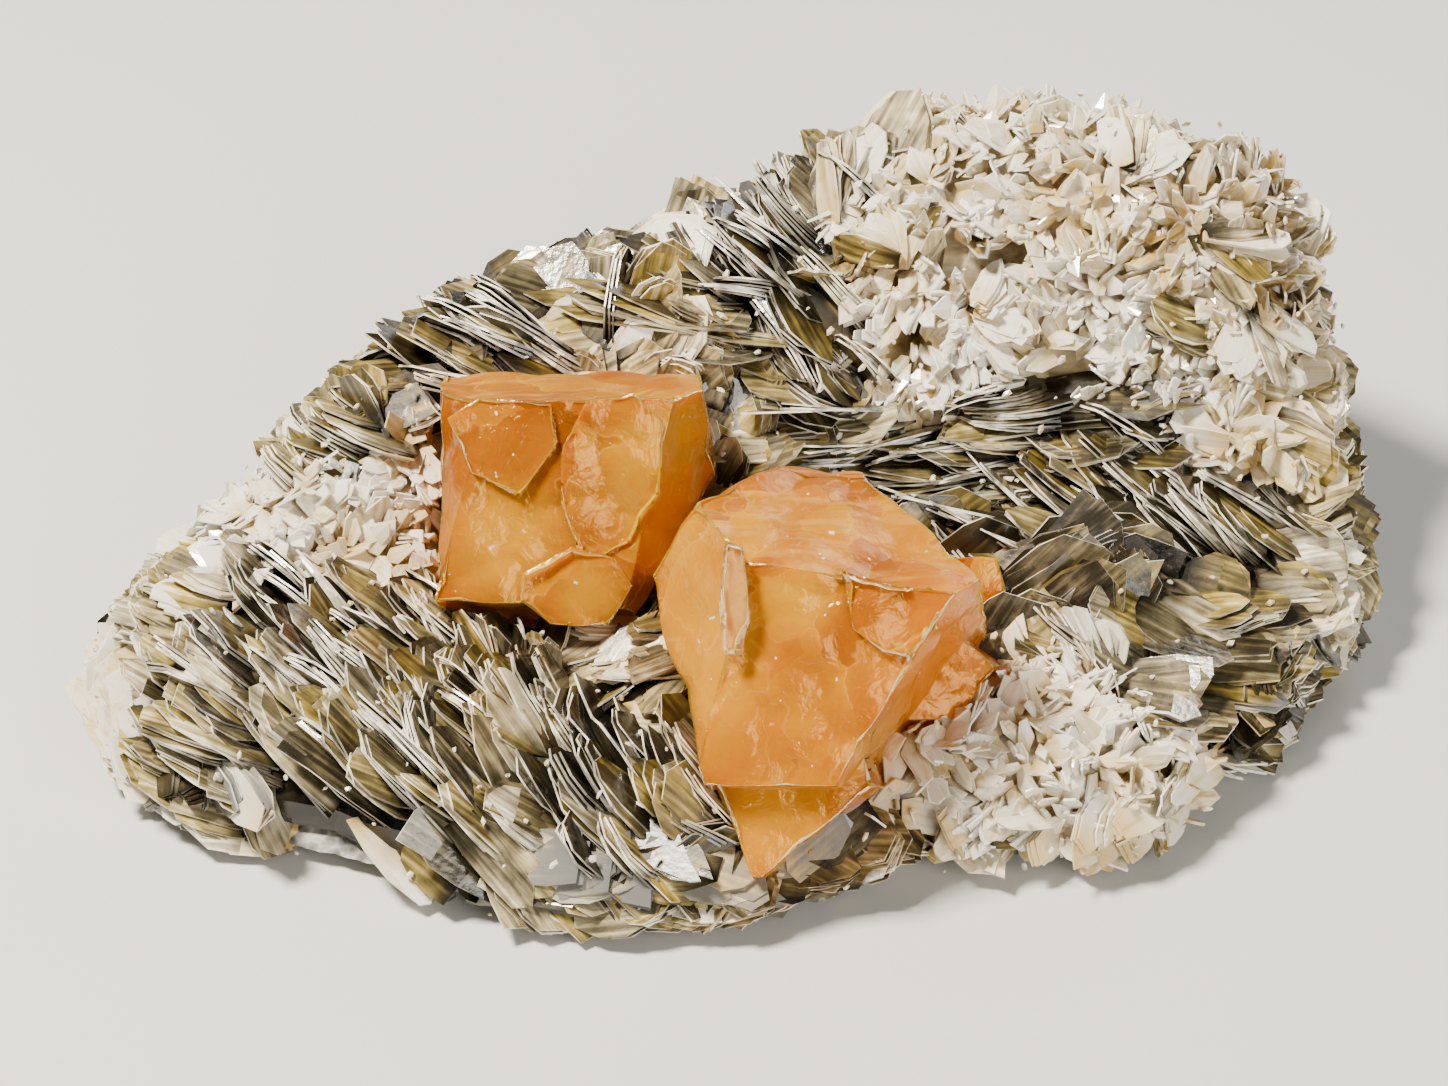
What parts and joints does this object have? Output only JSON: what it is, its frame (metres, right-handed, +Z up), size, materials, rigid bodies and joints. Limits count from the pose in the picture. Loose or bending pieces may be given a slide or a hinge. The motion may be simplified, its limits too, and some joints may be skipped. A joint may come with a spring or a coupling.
{
  "type": "scheelite on muscovite mineral specimen",
  "caption": "Blocky orange scheelite crystals in a bed of bladed muscovite mica, on a quartz and mica base cut flat underneath.",
  "frame": {"origin": "on the flat underside, below the middle of the whole specimen's box", "axes": "+X along the specimen's length, to the right as it is shown; +Y to its back; +Z up, away from the cut underside"},
  "size_m": [0.138, 0.0952, 0.0484],
  "materials": {
    "scheelite": "glossy, translucent orange crystal",
    "mica_olive": "pearly olive mica sheets",
    "mica_cream": "pearly cream mica blades",
    "quartz_mica_rock": "sugary grey rock"
  },
  "bodies": {
    "root": {"matrix_base": "quartz_mica_rock", "scheelite_left": "scheelite", "scheelite_right": "scheelite", "scheelite_small": "scheelite", "mica_books_left": "mica_olive", "mica_crust_left": "mica_cream", "mica_books_back": "mica_olive", "mica_mound": "mica_cream", "mica_books_right": "mica_olive", "mica_rosette_front": "mica_cream"}
  },
  "joints": []
}
